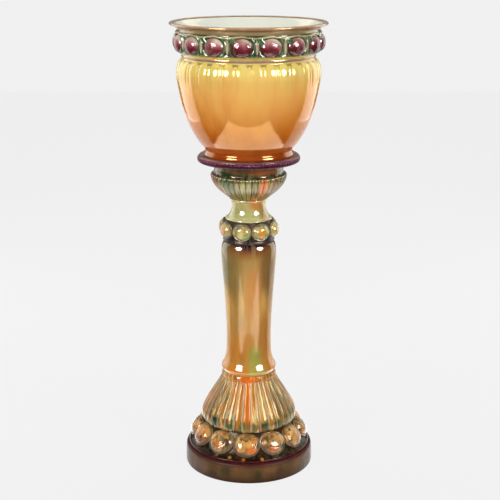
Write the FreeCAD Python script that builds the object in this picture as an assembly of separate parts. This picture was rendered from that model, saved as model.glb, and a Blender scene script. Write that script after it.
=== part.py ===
"""Majolica jardiniere on its stand: a reeded bowl that lifts off a hollow pottery pedestal.

Millimetres, Z up, origin on the floor at the stand's axis, front towards -Y. Every member is lofted
through many-sided rings, so that its sides are flats narrower than the modelling on them.
"""
import FreeCAD, Part
import math
import os

# Heights of the members, floor to lip
PLINTH_HEIGHT = 44.0
RING_HEIGHT = 54.0
SKIRT_LIP_HEIGHT = 8.0
BELL_HEIGHT = 84.0
COLLAR_HEIGHT = 16.0
SHAFT_BEAD_HEIGHT = 24.0
COLUMN_HEIGHT = 272.0
KNOP_HEIGHT = 47.0
NECK_HEIGHT = 45.0
CUP_HEIGHT = 59.0
CAP_HEIGHT = 19.0
LEDGE_HEIGHT = 14.0
BOWL_FOOT_HEIGHT = 18.0
BODY_HEIGHT = 186.0
BOWL_BEAD_HEIGHT = 5.5
BAND_FLARE = 5.0
BAND_HEIGHT = 37.5
LIP_HEIGHT = 22.0

# Radii of the members, at the widest and, where they close in, at the narrowest
PLINTH_RADIUS = 139.0
SKIRT_RADIUS = 103.8
COLLAR_RADIUS = 61.0
SHAFT_BEAD_RADIUS = 59.5
COLUMN_WAIST = 48.2
COLUMN_SHOULDER = 58.7
NECK_RADIUS = 50.0
NECK_WAIST = 35.9
CUP_FOOT = 41.0
CUP_RADIUS = 79.6
CAP_NECK = 74.0
CAP_RADIUS = 76.0
LEDGE_RADIUS = 106.6
BOWL_FOOT_RADIUS = 95.3
BOWL_RADIUS = 147.9

# Steps in, or out, from one member to the next, by radius
PLINTH_STEP = 13.0
SKIRT_OVERHANG = 9.8
KNOP_STEP = 7.2
BOWL_BEAD_STEP = 10.1
BAND_STEP = 1.9
LIP_FLARE = 16.7

# Seats of the moulded fruit and eggs, from the axis to the middle of each flat
RING_SEAT_LOW = PLINTH_RADIUS - PLINTH_STEP
RING_SEAT_HIGH = SKIRT_RADIUS - SKIRT_OVERHANG
KNOP_SEAT = COLUMN_SHOULDER - KNOP_STEP
BAND_SEAT = BOWL_RADIUS - BAND_STEP

BOWL_BEAD_RADIUS = BOWL_RADIUS - BOWL_BEAD_STEP
LIP_RADIUS = BAND_SEAT + LIP_FLARE

# Thickness of the pottery, the bores through the slender members and the recess under the bowl
PLINTH_WALL = 14.0
RING_WALL = 13.0
COLLAR_WALL = 16.0
BOWL_WALL = 9.0
BOWL_FLOOR = 20.0
SHAFT_BORE = 38.0
NECK_BORE = 26.0
CUP_BORE = 57.0
BOWL_RECESS = 78.0
BOWL_RECESS_DEPTH = 8.0

# Edges eased by hand before the glaze, and the draft that frees the plinth from its mould
PLINTH_EASE = 3.0
PLINTH_SHOULDER = 7.0
PLINTH_DRAFT = 1.0
LEDGE_EASE = 3.5
KNOP_EASE = 5.5
LIP_EASE = 4.0

# How far the narrow parts of each member stand in from its full radius
COLLAR_HOLLOW = 6.0
COLLAR_LEDGE = 1.5
SHAFT_BEAD_HOLLOW = 9.0
FOOT_HOLLOW = 3.0
BOWL_BEAD_ROLL = 2.0
BAND_ROOT = 4.3
LIP_ROOT = 1.0

# Counts of the repeated ornament and the bearing of the first, in degrees from the front
FOOT_EGGS, FOOT_EGG_TURN = 12, -2.0
SKIRT_REEDS, SKIRT_TURN = 32, -2.5
KNOP_EGGS, KNOP_EGG_TURN = 8, -15.0
GADROONS, GADROON_TURN = 36, 0.0
BOWL_REEDS, PLUMS, BOWL_TURN = 32, 16, -5.0

# The eggs and fruit on their flats: width, length and rise
FOOT_EGG_WIDTH = 56.0
FOOT_EGG_LENGTH = 47.0
FOOT_EGG_RISE = 12.0
KNOP_EGG_WIDTH = 38.5
KNOP_EGG_LENGTH = 37.5
KNOP_EGG_RISE = 12.8
PLUM_WIDTH = 45.5
PLUM_LENGTH = 38.5
PLUM_RISE = 10.3

# The leaves between the fruit: the rise of the midrib and the gap left beside the fruit
LEAF_RISE = 5.5
LEAF_GAP = 1.0

# How deep the grooves are cut, as a share of the radius at the crowns
SKIRT_GROOVE = 0.965
GADROON_GROOVE = 0.92

# Sides of the plain rings: broad members, slender members, hidden cavities
BROAD_SIDES = 56
SLENDER_SIDES = 40
HIDDEN_SIDES = 20

# Seams between the members, from the floor up
PLINTH_TOP = PLINTH_HEIGHT
RING_TOP = PLINTH_TOP + RING_HEIGHT
SKIRT_LIP_TOP = RING_TOP + SKIRT_LIP_HEIGHT
BELL_TOP = SKIRT_LIP_TOP + BELL_HEIGHT
SKIRT_TOP = BELL_TOP + COLLAR_HEIGHT
SHAFT_BEAD_TOP = SKIRT_TOP + SHAFT_BEAD_HEIGHT
SHAFT_TOP = SHAFT_BEAD_TOP + COLUMN_HEIGHT
KNOP_TOP = SHAFT_TOP + KNOP_HEIGHT
NECK_TOP = KNOP_TOP + NECK_HEIGHT
CUP_TOP = NECK_TOP + CUP_HEIGHT
CAPITAL_TOP = CUP_TOP + CAP_HEIGHT
LEDGE_TOP = CAPITAL_TOP + LEDGE_HEIGHT
BOWL_FOOT_TOP = LEDGE_TOP + BOWL_FOOT_HEIGHT
BODY_TOP = BOWL_FOOT_TOP + BODY_HEIGHT
BOWL_BEAD_TOP = BODY_TOP + BOWL_BEAD_HEIGHT
BAND_LOW = BOWL_BEAD_TOP + BAND_FLARE
BAND_TOP = BAND_LOW + BAND_HEIGHT
LIP_TOP = BAND_TOP + LIP_HEIGHT

FLATNESS = 1e-5
ORIGIN = FreeCAD.Vector(0, 0, 0)
Z_AXIS = FreeCAD.Vector(0, 0, 1)
X_AXIS = FreeCAD.Vector(1, 0, 0)


def between(low, high, share):
    return low + share * (high - low)


def outline(foot, top, narrow, wide, shares):
    """Levels (height, radius) of a member from the shares of its height and of its swelling."""
    return [(between(foot, top, up), between(narrow, wide, out)) for up, out in shares]


def around(radius, bearing, height):
    """A point at a bearing, in degrees, turned from the front towards +X."""
    angle = math.radians(bearing - 90)
    return FreeCAD.Vector(radius * math.cos(angle), radius * math.sin(angle), height)


def side_faces(corners):
    """One face where four corners share a plane, else the two triangles between them."""
    a, b, c, d = corners
    normal = (b - a).cross(c - a)
    if normal.Length > FLATNESS and abs((d - a).dot(normal.normalize())) < FLATNESS:
        loops = [[a, b, c, d, a]]
    else:
        loops = [[a, b, c, a], [a, c, d, a]]
    return [Part.Face(Part.makePolygon(loop)) for loop in loops]


def lofted(rings):
    """The solid through rings of equally many corners, listed upwards, with flat sides and ends."""
    faces = [Part.Face(Part.makePolygon(ring + ring[:1])) for ring in (rings[0], rings[-1])]
    for low, high in zip(rings, rings[1:]):
        for here in range(len(low)):
            after = (here + 1) % len(low)
            faces += side_faces((low[here], low[after], high[after], high[here]))
    shell = Part.makeShell(faces)
    shell.sewShape()
    solid = Part.makeSolid(shell)
    if solid.Volume < 0:
        solid.reverse()
    return solid


def plain(sides, levels, first=0.0):
    """A plain member: each level is (height, radius of the corners)."""
    pitch = 360 / sides
    return lofted(
        [
            [around(radius, first + side * pitch, height) for side in range(sides)]
            for height, radius in levels
        ]
    )


def flatted(sides, levels, first):
    """A member with one flat per repeat of the ornament on it: each level is (height, distance to
    the middle of the flats), and first is the bearing of a flat."""
    reach = 1 / math.cos(math.pi / sides)
    corners = [(height, seat * reach) for height, seat in levels]
    return plain(sides, corners, first + 180 / sides)


def lobed(count, levels, first, crown_share=0.2):
    """A member of rounded lobes: each level is (height, radius of the grooves, radius of the
    crowns). The crown reaches crown_share of the pitch to either side of the lobe's middle."""
    pitch = 360 / count
    rings = []
    for height, groove, crown in levels:
        ring = []
        for lobe in range(count):
            middle = first + lobe * pitch
            ring.append(around(groove, middle - pitch / 2, height))
            ring.append(around(crown, middle - pitch * crown_share, height))
            ring.append(around(crown, middle + pitch * crown_share, height))
        rings.append(ring)
    return lofted(rings)


def boss(width, length, rise, tiers=((1.0, 0.0), (0.85, 0.55), (0.45, 1.0)), sides=10):
    """An oval boss standing up +Z from a flat. Each tier is (share of the oval, share of the
    rise)."""
    rings = []
    for share, lift in tiers:
        ring = []
        for side in range(sides):
            angle = 2 * math.pi * (side + 0.5) / sides
            across = share * width / 2 * math.cos(angle)
            along = share * length / 2 * math.sin(angle)
            ring.append(FreeCAD.Vector(across, along, lift * rise))
        rings.append(ring)
    return lofted(rings)


def ring_of(shape, count, first, radius, height, tilt=0.0):
    """Copies of a boss about the axis, each leant to point outwards and tilt degrees up."""
    copies = []
    for number in range(count):
        copy = shape.copy()
        copy.rotate(ORIGIN, X_AXIS, 90 - tilt)
        copy.translate(FreeCAD.Vector(0, -radius, height))
        copy.rotate(ORIGIN, Z_AXIS, first + number * 360 / count)
        copies.append(copy)
    return Part.makeCompound(copies)


def plinth():
    """A low drum with an eased foot and a rounded shoulder, open underneath."""
    shoulder = PLINTH_RADIUS - PLINTH_DRAFT
    drum = plain(
        BROAD_SIDES,
        (
            (0, PLINTH_RADIUS - PLINTH_EASE),
            (PLINTH_EASE, PLINTH_RADIUS),
            (PLINTH_TOP - PLINTH_SHOULDER, shoulder),
            (PLINTH_TOP - PLINTH_SHOULDER / 2, shoulder - PLINTH_SHOULDER / 4),
            (PLINTH_TOP, shoulder - PLINTH_SHOULDER),
        ),
    )
    cavity = ((0, PLINTH_RADIUS - PLINTH_WALL), (PLINTH_TOP, RING_SEAT_LOW - RING_WALL))
    return drum.cut(plain(HIDDEN_SIDES, cavity))


# The foot ring: a sloping band, upright at its foot and head, with a flat for each egg
RING_FOOT_UPRIGHT = 6.0
RING_HEAD_UPRIGHT = 3.0
FOOT_EGG_DROP = 2.5


def foot_ring():
    band = (
        (PLINTH_TOP, RING_SEAT_LOW),
        (PLINTH_TOP + RING_FOOT_UPRIGHT, RING_SEAT_LOW),
        (RING_TOP - RING_HEAD_UPRIGHT, RING_SEAT_HIGH),
        (RING_TOP, RING_SEAT_HIGH),
    )
    cavity = ((PLINTH_TOP, RING_SEAT_LOW - RING_WALL), (RING_TOP, RING_SEAT_HIGH - RING_WALL))
    return flatted(FOOT_EGGS, band, FOOT_EGG_TURN).cut(plain(HIDDEN_SIDES, cavity))


def foot_eggs():
    """Eggs that lean back on the ring's slope, a little below its middle."""
    run = RING_SEAT_LOW - RING_SEAT_HIGH
    climb = RING_HEIGHT - RING_FOOT_UPRIGHT - RING_HEAD_UPRIGHT
    slope = math.hypot(run, climb)
    share = 0.5 - FOOT_EGG_DROP / slope
    radius = between(RING_SEAT_LOW, RING_SEAT_HIGH, share)
    height = PLINTH_TOP + RING_FOOT_UPRIGHT + share * climb
    tilt = math.degrees(math.atan2(run, climb))
    egg = boss(FOOT_EGG_WIDTH, FOOT_EGG_LENGTH, FOOT_EGG_RISE)
    return ring_of(egg, FOOT_EGGS, FOOT_EGG_TURN, radius, height, tilt)


def skirt():
    """A reeded bell over a rolled lip, with a round collar at its neck."""
    bell_neck = COLLAR_RADIUS + COLLAR_LEDGE
    bell_shares = ((0, 0.956), (0.083, 1), (0.19, 0.956), (0.357, 0.81), (0.69, 0.4), (1, 0))
    slope = outline(SKIRT_LIP_TOP, BELL_TOP, bell_neck, SKIRT_RADIUS, bell_shares)
    bell = lobed(
        SKIRT_REEDS,
        [(height, SKIRT_GROOVE * crown, crown) for height, crown in slope],
        SKIRT_TURN,
    )
    lip_shares = ((0, 0.85), (0.25, 0.98), (0.75, 0.98), (1, 0.855))
    lip = plain(
        BROAD_SIDES, outline(RING_TOP, SKIRT_LIP_TOP, bell_neck, SKIRT_RADIUS, lip_shares)
    )
    collar_shares = ((0, 0.5), (0.22, 1), (0.56, 0.88), (0.88, 0.08), (1, 0))
    collar = plain(
        SLENDER_SIDES,
        outline(
            BELL_TOP, SKIRT_TOP, COLLAR_RADIUS - COLLAR_HOLLOW, COLLAR_RADIUS, collar_shares
        ),
    )
    cavity = (
        (RING_TOP, RING_SEAT_HIGH - RING_WALL),
        (SKIRT_LIP_TOP, RING_SEAT_HIGH - RING_WALL),
        (BELL_TOP, COLLAR_RADIUS - COLLAR_WALL),
        (SKIRT_TOP, SHAFT_BORE),
    )
    return bell.fuse([lip, collar]).removeSplitter().cut(plain(HIDDEN_SIDES, cavity))


def shaft():
    """A column with a bead at its foot, a low waist and a full, rounded shoulder."""
    bead_shares = ((0, 0.44), (0.12, 0.8), (0.31, 1), (0.52, 1), (0.71, 0.76))
    column_shares = ((0, 0.44), (0.05, 0.14), (0.14, 0.01), (0.27, 0.01), (0.44, 0.19))
    column_shares += ((0.66, 0.6), (0.82, 0.92), (0.9, 1), (0.95, 0.93), (0.98, 0.76), (1, 0.53))
    bead_waist = SHAFT_BEAD_RADIUS - SHAFT_BEAD_HOLLOW
    levels = outline(SKIRT_TOP, SHAFT_BEAD_TOP, bead_waist, SHAFT_BEAD_RADIUS, bead_shares)
    levels += outline(SHAFT_BEAD_TOP, SHAFT_TOP, COLUMN_WAIST, COLUMN_SHOULDER, column_shares)
    bore = ((SKIRT_TOP, SHAFT_BORE), (SHAFT_TOP, SHAFT_BORE))
    return plain(SLENDER_SIDES, levels).cut(plain(HIDDEN_SIDES, bore))


def knop():
    """An eight-sided core with a flat for each egg, its bore closing from the shaft's."""
    core = (
        (SHAFT_TOP, KNOP_SEAT),
        (KNOP_TOP - KNOP_EASE, KNOP_SEAT),
        (KNOP_TOP, KNOP_SEAT - KNOP_EASE),
    )
    bore = ((SHAFT_TOP, SHAFT_BORE), (KNOP_TOP, NECK_BORE))
    return flatted(KNOP_EGGS, core, KNOP_EGG_TURN).cut(plain(HIDDEN_SIDES, bore))


def knop_eggs():
    height = between(SHAFT_TOP, KNOP_TOP - KNOP_EASE, 0.5)
    egg = boss(KNOP_EGG_WIDTH, KNOP_EGG_LENGTH, KNOP_EGG_RISE)
    return ring_of(egg, KNOP_EGGS, KNOP_EGG_TURN, KNOP_SEAT, height)


def neck():
    """A trumpet that overhangs the knop and closes to a waist under the capital."""
    shares = ((0, 0.9), (0.045, 1), (0.156, 0.57), (0.31, 0.2), (0.53, 0), (0.78, 0.07))
    shares += ((0.91, 0.11), (1, 0.25))
    bore = ((KNOP_TOP, NECK_BORE), (NECK_TOP, NECK_BORE))
    return plain(
        SLENDER_SIDES, outline(KNOP_TOP, NECK_TOP, NECK_WAIST, NECK_RADIUS, shares)
    ).cut(plain(HIDDEN_SIDES, bore))


def capital():
    """A cup of gadroons below a plain, hollow-sided cap."""
    cup_shares = ((0, 0), (0.12, 0.17), (0.3, 0.54), (0.54, 0.86))
    cup_shares += ((0.78, 1), (0.915, 0.93), (1, 0.75))
    crowns = outline(NECK_TOP, CUP_TOP, CUP_FOOT, CUP_RADIUS, cup_shares)
    cup = lobed(
        GADROONS,
        [(height, GADROON_GROOVE * crown, crown) for height, crown in crowns],
        GADROON_TURN,
    )
    cap_shares = ((0, 0), (0.47, 0.14), (0.79, 0.55), (1, 1))
    cap = plain(SLENDER_SIDES, outline(CUP_TOP, CAPITAL_TOP, CAP_NECK, CAP_RADIUS, cap_shares))
    cavity = (
        (NECK_TOP, NECK_BORE),
        (between(NECK_TOP, CUP_TOP, 0.5), 0.9 * CUP_BORE),
        (CUP_TOP, CUP_BORE),
        (CAPITAL_TOP, CUP_BORE),
    )
    return cup.fuse(cap).cut(plain(HIDDEN_SIDES, cavity))


def ledge():
    """The round shelf that closes the stand, its edge rounded over."""
    levels = (
        (CAPITAL_TOP, LEDGE_RADIUS - LEDGE_EASE),
        (CAPITAL_TOP + LEDGE_EASE, LEDGE_RADIUS),
        (LEDGE_TOP - LEDGE_EASE, LEDGE_RADIUS),
        (LEDGE_TOP, LEDGE_RADIUS - LEDGE_EASE),
    )
    return plain(BROAD_SIDES, levels)


# The bowl's body: share of the height, then the shares of the swelling at grooves and crowns
BODY_SHARES = (
    (0, 0, 0),
    (0.065, 0.188, 0.188),
    (0.15, 0.374, 0.374),
    (0.258, 0.567, 0.567),
    (0.387, 0.733, 0.733),
    (0.538, 0.869, 0.869),
    (0.68, 0.949, 0.955),
    (0.81, 0.942, 1),
    (0.925, 0.88, 0.949),
    (0.973, 0.805, 0.867),
    (1, 0.727, 0.746),
)


def body_levels():
    """Height, groove radius and crown radius: plain below, then reeds that rise to the shoulder."""
    return [
        (
            between(BOWL_FOOT_TOP, BODY_TOP, up),
            between(BOWL_FOOT_RADIUS, BOWL_RADIUS, groove),
            between(BOWL_FOOT_RADIUS, BOWL_RADIUS, crown),
        )
        for up, groove, crown in BODY_SHARES
    ]


def bowl_cavity():
    """The inside, one wall in from the grooves, the band and the lip."""
    levels = [(LEDGE_TOP + BOWL_FLOOR, BOWL_FOOT_RADIUS - BOWL_WALL)]
    levels += [(height, groove - BOWL_WALL) for height, groove, crown in body_levels()[2:-1:2]]
    levels += [
        (BODY_TOP, BOWL_BEAD_RADIUS - 1.5 * BOWL_WALL),
        (BAND_TOP, BAND_SEAT - BOWL_WALL),
        (LIP_TOP - LIP_EASE, LIP_RADIUS - BOWL_WALL),
        (LIP_TOP, LIP_RADIUS - 0.7 * BOWL_WALL),
    ]
    return plain(SLENDER_SIDES, levels)


def bowl():
    """Foot, reeded body, bead, fruit band and flared lip, all round one cavity."""
    foot_shares = ((0, 0.5), (0.14, 1), (0.42, 1), (0.61, 0), (0.83, 0), (1, 0.6))
    foot_waist = BOWL_FOOT_RADIUS - FOOT_HOLLOW
    foot = plain(
        BROAD_SIDES,
        outline(LEDGE_TOP, BOWL_FOOT_TOP, foot_waist, BOWL_FOOT_RADIUS, foot_shares),
    )
    body = lobed(BOWL_REEDS, body_levels(), BOWL_TURN)
    bead_shares = ((0, 0.2), (0.5, 1), (1, 0.3))
    bead = plain(
        BROAD_SIDES,
        outline(
            BODY_TOP,
            BOWL_BEAD_TOP,
            BOWL_BEAD_RADIUS - BOWL_BEAD_ROLL,
            BOWL_BEAD_RADIUS,
            bead_shares,
        ),
    )
    band = (
        (BOWL_BEAD_TOP, BOWL_BEAD_RADIUS - BAND_ROOT),
        (BAND_LOW, BAND_SEAT),
        (BAND_TOP, BAND_SEAT),
    )
    lip_shares = ((0, 0), (0.23, 0.14), (0.64, 0.86), (0.82, 1), (1, 0.86))
    lip = plain(
        BROAD_SIDES,
        outline(BAND_TOP, LIP_TOP, BAND_SEAT - LIP_ROOT, LIP_RADIUS, lip_shares),
    )
    recess = (
        (LEDGE_TOP, BOWL_RECESS),
        (LEDGE_TOP + BOWL_RECESS_DEPTH, BOWL_RECESS - BOWL_RECESS_DEPTH / 2),
    )
    walls = foot.fuse([body, bead, flatted(PLUMS, band, BOWL_TURN), lip])
    return walls.cut([bowl_cavity(), plain(HIDDEN_SIDES, recess)])


def plums():
    """The fruit round the band, one to each flat, as tall as the band."""
    height = between(BAND_LOW, BAND_TOP, 0.5)
    plum = boss(PLUM_WIDTH, PLUM_LENGTH, PLUM_RISE)
    return ring_of(plum, PLUMS, BOWL_TURN, BAND_SEAT, height)


# A leaf from its stalk up: share of the band's height, of the room beside the fruit, of the rise
LEAF_SHARES = (
    (0.0, 0.14, 0.3),
    (0.25, 0.6, 0.75),
    (0.5, 1, 0.95),
    (0.75, 1, 1),
    (0.9, 1, 0.85),
    (1.0, 0.85, 0.35),
)


def leaves():
    """A leaf over each corner of the band, its back on the two flats. It widens as the oval fruit
    on both sides give room, and its midrib stands up along the corner."""
    half_turn = math.pi / PLUMS
    flat = BAND_SEAT * math.tan(half_turn)
    rings = []
    for up, out, lift in LEAF_SHARES:
        along = between(-BAND_HEIGHT / 2, BAND_HEIGHT / 2, up)
        fruit = PLUM_WIDTH / 2 * math.sqrt(max(0, 1 - (2 * along / PLUM_LENGTH) ** 2))
        reach = out * (flat - fruit - LEAF_GAP)
        across, back = reach * math.cos(half_turn), -reach * math.sin(half_turn)
        rings.append(
            [
                FreeCAD.Vector(-across, along, back),
                FreeCAD.Vector(0, along, lift * LEAF_RISE),
                FreeCAD.Vector(across, along, back),
                FreeCAD.Vector(0, along, 0),
            ]
        )
    corner = BAND_SEAT / math.cos(half_turn)
    height = between(BAND_LOW, BAND_TOP, 0.5)
    return ring_of(lofted(rings), PLUMS, BOWL_TURN + 180 / PLUMS, corner, height)


PIECES = {
    "plinth": plinth,
    "foot_ring": foot_ring,
    "foot_eggs": foot_eggs,
    "skirt": skirt,
    "shaft": shaft,
    "knop": knop,
    "knop_eggs": knop_eggs,
    "neck": neck,
    "capital": capital,
    "ledge": ledge,
    "bowl": bowl,
    "plums": plums,
    "leaves": leaves,
}

os.makedirs("parts", exist_ok=True)
for name, build in PIECES.items():
    build().exportStep(f"parts/{name}.step")
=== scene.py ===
import math

import bpy
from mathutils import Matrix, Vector


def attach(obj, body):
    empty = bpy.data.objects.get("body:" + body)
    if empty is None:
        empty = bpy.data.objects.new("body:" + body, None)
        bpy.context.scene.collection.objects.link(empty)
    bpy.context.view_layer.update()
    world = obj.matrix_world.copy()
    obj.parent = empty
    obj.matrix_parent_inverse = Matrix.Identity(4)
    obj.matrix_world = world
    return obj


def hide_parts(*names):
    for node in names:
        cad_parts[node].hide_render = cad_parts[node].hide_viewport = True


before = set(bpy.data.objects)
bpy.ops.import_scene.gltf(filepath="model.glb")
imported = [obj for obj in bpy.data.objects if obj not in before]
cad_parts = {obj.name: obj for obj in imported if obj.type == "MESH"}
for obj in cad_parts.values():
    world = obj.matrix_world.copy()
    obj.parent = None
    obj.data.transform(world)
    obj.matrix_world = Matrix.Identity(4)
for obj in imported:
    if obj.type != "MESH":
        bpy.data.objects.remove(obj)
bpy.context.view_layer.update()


# ---------------------------------------------------------------- plinth
# The round foot of the stand: a drum of buff earthenware, thrown and turned, open underneath. Its
# side has a thin matt umber wash, and the shoulder a run of dark maroon glaze from the eggs above.

class Wire:
    """A socket that takes part in sums and adds the Math node for each."""

    def __init__(self, tree, socket):
        self.tree, self.socket = tree, socket

    def sum(self, operation, *values):
        node = self.tree.nodes.new("ShaderNodeMath")
        node.operation = operation
        for place, value in enumerate(values):
            if isinstance(value, Wire):
                self.tree.links.new(value.socket, node.inputs[place])
            else:
                node.inputs[place].default_value = value
        return Wire(self.tree, node.outputs[0])

    def __add__(self, other): return self.sum("ADD", self, other)
    def __radd__(self, other): return self.sum("ADD", other, self)
    def __sub__(self, other): return self.sum("SUBTRACT", self, other)
    def __rsub__(self, other): return self.sum("SUBTRACT", other, self)
    def __mul__(self, other): return self.sum("MULTIPLY", self, other)
    def __rmul__(self, other): return self.sum("MULTIPLY", other, self)
    def __truediv__(self, other): return self.sum("DIVIDE", self, other)
    def __rtruediv__(self, other): return self.sum("DIVIDE", other, self)
    def __pow__(self, other): return self.sum("POWER", self, other)
    def __neg__(self): return self.sum("MULTIPLY", self, -1)
    def __abs__(self): return self.sum("ABSOLUTE", self)


class Tree:
    """A node tree on the bench: add() makes any node from its type, settings and inputs."""

    def __init__(self, tree):
        self.tree = tree

    def add(self, kind, settings=None, inputs=None, out=0):
        node = self.tree.nodes.new(kind)
        for name, value in (settings or {}).items():
            if name == "stops":
                ramp = node.color_ramp.elements
                while len(ramp) < len(value):
                    ramp.new(0.5)
                for stop, (place, colour) in zip(ramp, value):
                    stop.position, stop.color = place, (*colour, 1)
            else:
                setattr(node, name, value)
        for key, value in (inputs or {}).items():
            socket = self.find(node.inputs, key)
            if isinstance(value, Wire):
                self.tree.links.new(value.socket, socket)
            else:
                socket.default_value = value
        if isinstance(out, tuple):
            return [Wire(self.tree, self.find(node.outputs, key)) for key in out]
        return Wire(self.tree, self.find(node.outputs, out)) if node.outputs else node

    def find(self, sockets, key):
        if isinstance(key, int):
            return sockets[key]
        return next(s for s in sockets if s.name == key and s.enabled and not s.is_unavailable)

    def step(self, value, low, high, start=0.0, end=1.0):
        """Goes smoothly from start to end as the value climbs from low to high."""
        return self.add(
            "ShaderNodeMapRange", {"interpolation_type": "SMOOTHSTEP"},
            {"Value": value, "From Min": low, "From Max": high, "To Min": start, "To Max": end})

    def mix(self, share, under, over, how="MIX"):
        return self.add("ShaderNodeMix", {"data_type": "RGBA", "blend_type": how},
                        {0: share, 6: under, 7: over}, out=2)


def bench(name, *inputs):
    """An empty geometry tree with named inputs (label, kind, value at the start) and one shape as its
    outcome, and the way to ask for an input."""
    group = bpy.data.node_groups.new(name, "GeometryNodeTree")
    for label, kind, value in inputs:
        socket = group.interface.new_socket(label, in_out="INPUT", socket_type="NodeSocket" + kind)
        if value is not None:
            socket.default_value = value
    group.interface.new_socket("Shape", in_out="OUTPUT", socket_type="NodeSocketGeometry")
    given = group.nodes.new("NodeGroupInput")
    return group, Tree(group), lambda label: Wire(group, given.outputs[label])


def glazed(group, tree, shape, material):
    """Welds, smooths and glazes the shape and makes it the tree's outcome."""
    weld = 2e-6
    shape = tree.add("GeometryNodeMergeByDistance", {}, {"Geometry": shape, "Distance": weld})
    shape = tree.add("GeometryNodeRealizeInstances", {}, {"Geometry": shape})
    shape = tree.add("GeometryNodeSetShadeSmooth", {}, {"Geometry": shape, "Shade Smooth": True})
    shape = tree.add("GeometryNodeSetMaterial", {}, {"Geometry": shape, "Material": material})
    group.links.new(shape.socket, group.nodes.new("NodeGroupOutput").inputs[0])
    return group


def wheel_tree():
    """The potter's wheel: turns a profile about the axis and raises reeds on the parts of it that
    carry a relief. A wide reed and a narrow one share each pitch, and both end above in a round head.
    The crown attribute is 1 on a wide reed's back, 2 on a narrow one's, 0 in a groove, plain_crown
    on a plain wall and below 0 inside the vessel."""
    plain_crown, inside_drop = 0.75, 2
    least_narrow, no_narrow = 1e-6, 0.01
    group, tree, ask = bench(
        "wheel", ("Profile", "Geometry", None), ("Steps round", "Int", 256), ("Reeds", "Int", 1),
        ("First reed", "Float", 0.0), ("Wide share", "Float", 1.0), ("Wide rise", "Float", 0.0),
        ("Narrow rise", "Float", 0.0), ("Wide head", "Float", 10.0), ("Narrow head", "Float", 10.0),
        ("Head length", "Float", 0.01), ("Squareness", "Float", 2.0), ("Glaze", "Material", None))
    rows = tree.add(
        "GeometryNodeAttributeDomainSize", {"component": "MESH"}, {"Geometry": ask("Profile")})
    steps = ask("Steps round")
    sheet = tree.add("GeometryNodeMeshGrid", {}, {"Vertices X": steps + 1, "Vertices Y": rows})
    number = tree.add("GeometryNodeInputIndex")
    turn = ((number + 0.5) / rows).sum("FLOOR", (number + 0.5) / rows)
    row = tree.add("FunctionNodeFloatToInt", {"rounding_mode": "ROUND"}, {"Float": number - turn * rows})
    place = tree.add("GeometryNodeSampleIndex", {"data_type": "FLOAT_VECTOR", "domain": "POINT"}, {
        "Geometry": ask("Profile"), "Index": row, "Value": tree.add("GeometryNodeInputPosition")})
    relief = tree.add("GeometryNodeSampleIndex", {"data_type": "FLOAT", "domain": "POINT"}, {
        "Geometry": ask("Profile"), "Index": row,
        "Value": tree.add("GeometryNodeInputNamedAttribute", {"data_type": "FLOAT"}, {"Name": "relief"})})
    radius, _, height = tree.add("ShaderNodeSeparateXYZ", {}, {0: place}, out=(0, 1, 2))
    share = turn / steps
    across = share * ask("Reeds") - ask("First reed") + 0.5
    across = abs(across.sum("FRACT", across) - 0.5)
    wide = ask("Wide share") * 0.5
    narrow = (0.5 - wide) + least_narrow

    def reed(aside, half, head):
        """Height of a reed's round back, from 0 at its edges and beyond its head to 1."""
        past = (height - head) / ask("Head length") + 1
        beyond = past.sum("MAXIMUM", past, 0)
        left = 1 - abs(aside / half) ** ask("Squareness") - beyond * beyond
        return left.sum("MAXIMUM", left, 0) ** 0.5

    broad = reed(across, wide, ask("Wide head"))
    slim = reed(0.5 - across, narrow, ask("Narrow head")) * narrow.sum("GREATER_THAN", narrow, no_narrow)
    outer = relief.sum("MAXIMUM", relief, 0)
    lift = outer * (ask("Wide rise") * broad + ask("Narrow rise") * slim)
    crown = outer * (broad.sum("MAXIMUM", broad, slim * 2))
    crown = crown + (1 - outer) * plain_crown + (relief - outer) * inside_drop
    reach = radius + lift
    bearing = share * (2 * math.pi)
    spot = tree.add("ShaderNodeCombineXYZ", {}, {
        0: reach * bearing.sum("SINE", bearing), 1: -(reach * bearing.sum("COSINE", bearing)), 2: height})
    shape = tree.add("GeometryNodeSetPosition", {}, {"Geometry": sheet, "Position": spot})
    shape = tree.add("GeometryNodeStoreNamedAttribute", {"data_type": "FLOAT", "domain": "POINT"}, {
        "Geometry": shape, "Name": "crown", "Value": crown})
    return glazed(group, tree, shape, ask("Glaze"))


def profile(*runs, spacing=1.0, softened=2):
    """A template for the wheel in millimetres: each run is a smooth line through (radius, height) or
    (radius, height, relief). The glaze rounds the corners where runs meet, and points that a plain
    wall doesn't need are left out."""
    flat, flat_inside, longest_step, tiny = 0.025, 0.15, 9, 1e-9

    def slope(first, last, length):
        return (last - first) * (length / max((last - first).length, tiny))

    line = []
    for run in runs:
        points = [Vector((*point, 0)[:3]) for point in run]
        ends = [points[0]] + points + [points[-1]]
        for before, start, end, after in zip(ends, ends[1:], ends[2:], ends[3:]):
            gap = (end - start).length
            into, away = slope(before, end, gap), slope(start, after, gap)
            pieces = max(1, round(gap / spacing))
            for piece in range(pieces):
                t = piece / pieces
                line.append((2 * t**3 - 3 * t**2 + 1) * start + (t**3 - 2 * t**2 + t) * into
                            + (3 * t**2 - 2 * t**3) * end + (t**3 - t**2) * away)
    line.append(Vector((*runs[-1][-1], 0)[:3]))
    for _ in range(softened):
        line = [line[0]] + [b / 2 + (a + c) / 4 for a, b, c in zip(line, line[1:], line[2:])] + [line[-1]]
    kept = [line[0]]
    for here, after in zip(line[1:], line[2:]):
        chord = after - kept[-1]
        bend = (here - kept[-1]).cross(chord).length / max(chord.length, tiny)
        if here.z > 0 or chord.length > longest_step or bend > (flat if here.z > -1 else flat_inside):
            kept.append(here)
    return kept + [line[-1]]


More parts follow.
